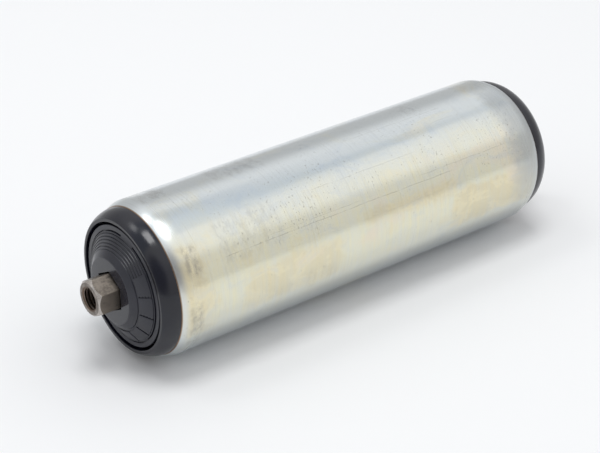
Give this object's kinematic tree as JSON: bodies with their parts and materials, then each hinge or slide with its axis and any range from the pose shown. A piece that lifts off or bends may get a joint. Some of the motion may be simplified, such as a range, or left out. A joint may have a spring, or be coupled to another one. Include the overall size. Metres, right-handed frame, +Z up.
{
  "type": "conveyor roller",
  "caption": "Gravity conveyor roller: zinc-plated tube with rolled-in ends, black bearing housings with labyrinth seals and a fixed hexagonal shaft with threaded ends.",
  "frame": {"origin": "middle of the roller, on its axis", "axes": "+X along the shaft to the right end, +Z up with a corner of the hexagonal shaft on top, +Y to the back"},
  "size_m": [0.18, 0.05, 0.05],
  "materials": {
    "zinc_tube": "bright zinc plating, lightly polished round the tube, with faint yellow passivation",
    "bare_shaft": "drawn bare steel with turned, chamfered ends",
    "housing_plastic": "satin black moulded polyamide",
    "ring_steel": "ground bearing steel",
    "ball_steel": "polished bearing steel",
    "cage_plastic": "moulded polyamide",
    "shield_steel": "pressed sheet steel",
    "bush_plastic": "natural moulded acetal",
    "seal_plastic": "matt dark grey moulded polyamide",
    "clip_steel": "blackened spring steel"
  },
  "bodies": {
    "shaft": {"shaft": "bare_shaft", "left_inner_ring": "ring_steel", "right_inner_ring": "ring_steel", "left_hex_bush": "bush_plastic", "right_hex_bush": "bush_plastic", "left_seal_disc": "seal_plastic", "right_seal_disc": "seal_plastic", "left_retaining_clip": "clip_steel", "right_retaining_clip": "clip_steel"},
    "roller": {"tube": "zinc_tube", "left_bearing_housing": "housing_plastic", "right_bearing_housing": "housing_plastic", "left_outer_ring": "ring_steel", "right_outer_ring": "ring_steel", "left_outboard_shield": "shield_steel", "right_outboard_shield": "shield_steel", "left_inboard_shield": "shield_steel", "right_inboard_shield": "shield_steel"},
    "left_ball_set": {"left_balls": "ball_steel", "left_cage": "cage_plastic"},
    "right_ball_set": {"right_balls": "ball_steel", "right_cage": "cage_plastic"}
  },
  "joints": [
    {"name": "roller_spin", "type": "hinge", "parent": "shaft", "child": "roller", "pos_m": [0, 0, 0], "axis": [1, 0, 0], "continuous": true},
    {"name": "left_ball_set_spin", "type": "hinge", "parent": "shaft", "child": "left_ball_set", "pos_m": [-0.0665, 0, 0], "axis": [1, 0, 0], "continuous": true},
    {"name": "right_ball_set_spin", "type": "hinge", "parent": "shaft", "child": "right_ball_set", "pos_m": [0.0665, 0, 0], "axis": [1, 0, 0], "continuous": true}
  ],
  "couplings": [
    {"joint": "left_ball_set_spin", "follows": "roller_spin", "ratio": 0.6013},
    {"joint": "right_ball_set_spin", "follows": "roller_spin", "ratio": 0.6013}
  ]
}
